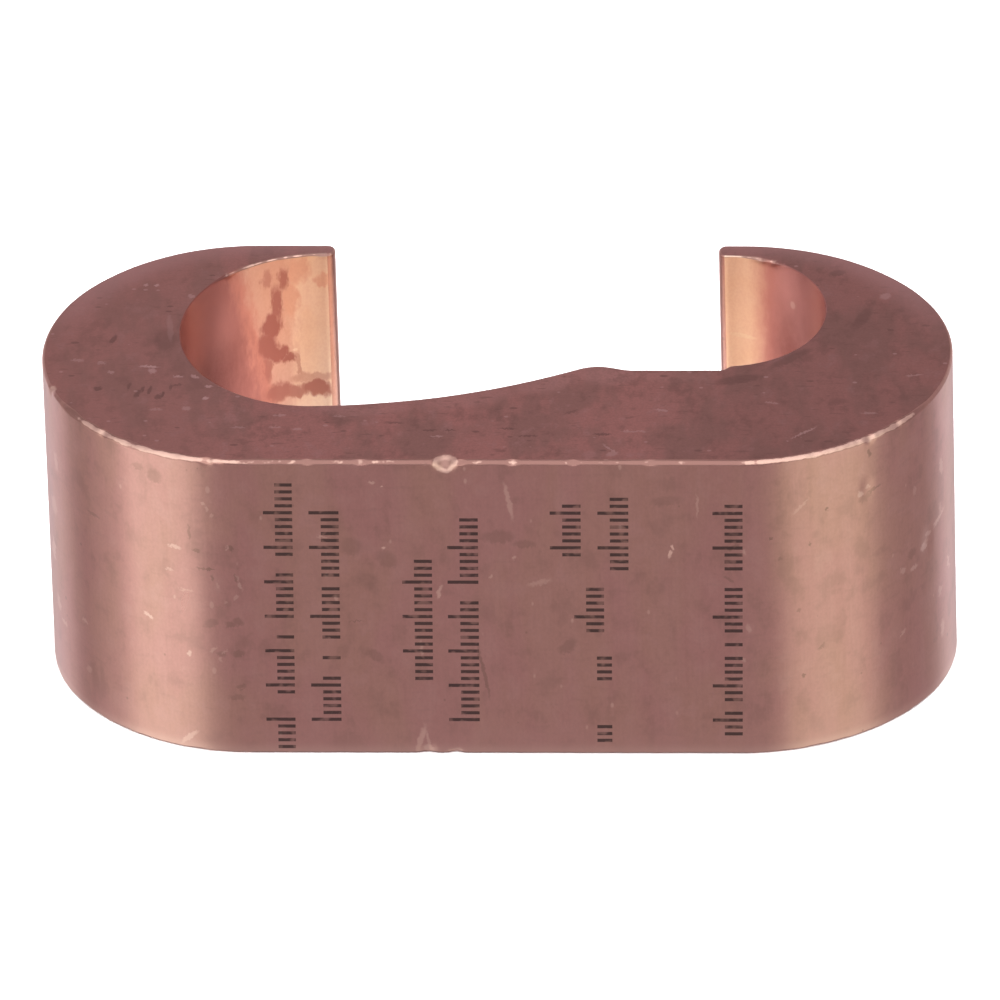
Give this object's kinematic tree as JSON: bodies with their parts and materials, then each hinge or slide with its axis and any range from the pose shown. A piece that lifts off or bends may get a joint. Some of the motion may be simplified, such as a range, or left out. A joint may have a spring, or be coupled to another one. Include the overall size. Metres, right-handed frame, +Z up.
{
  "type": "grounding compression connector",
  "caption": "Solid copper C-shaped connector. Crimped shut, it joins a ground cable or rod in its large groove to a tap conductor in its small groove.",
  "frame": {"origin": "centre of the bounding box at the lower cut end, which the connector stands on", "axes": "+X towards the small tap groove, along the long side of the section; +Y out of the mouth; +Z up, along both conductors"},
  "size_m": [0.0548, 0.0236, 0.0212],
  "materials": {
    "copper": "soft drawn copper, dull brown-pink outside and on the cut ends, brighter in the grooves"
  },
  "bodies": {
    "root": {"connector_body": "copper"}
  },
  "joints": []
}
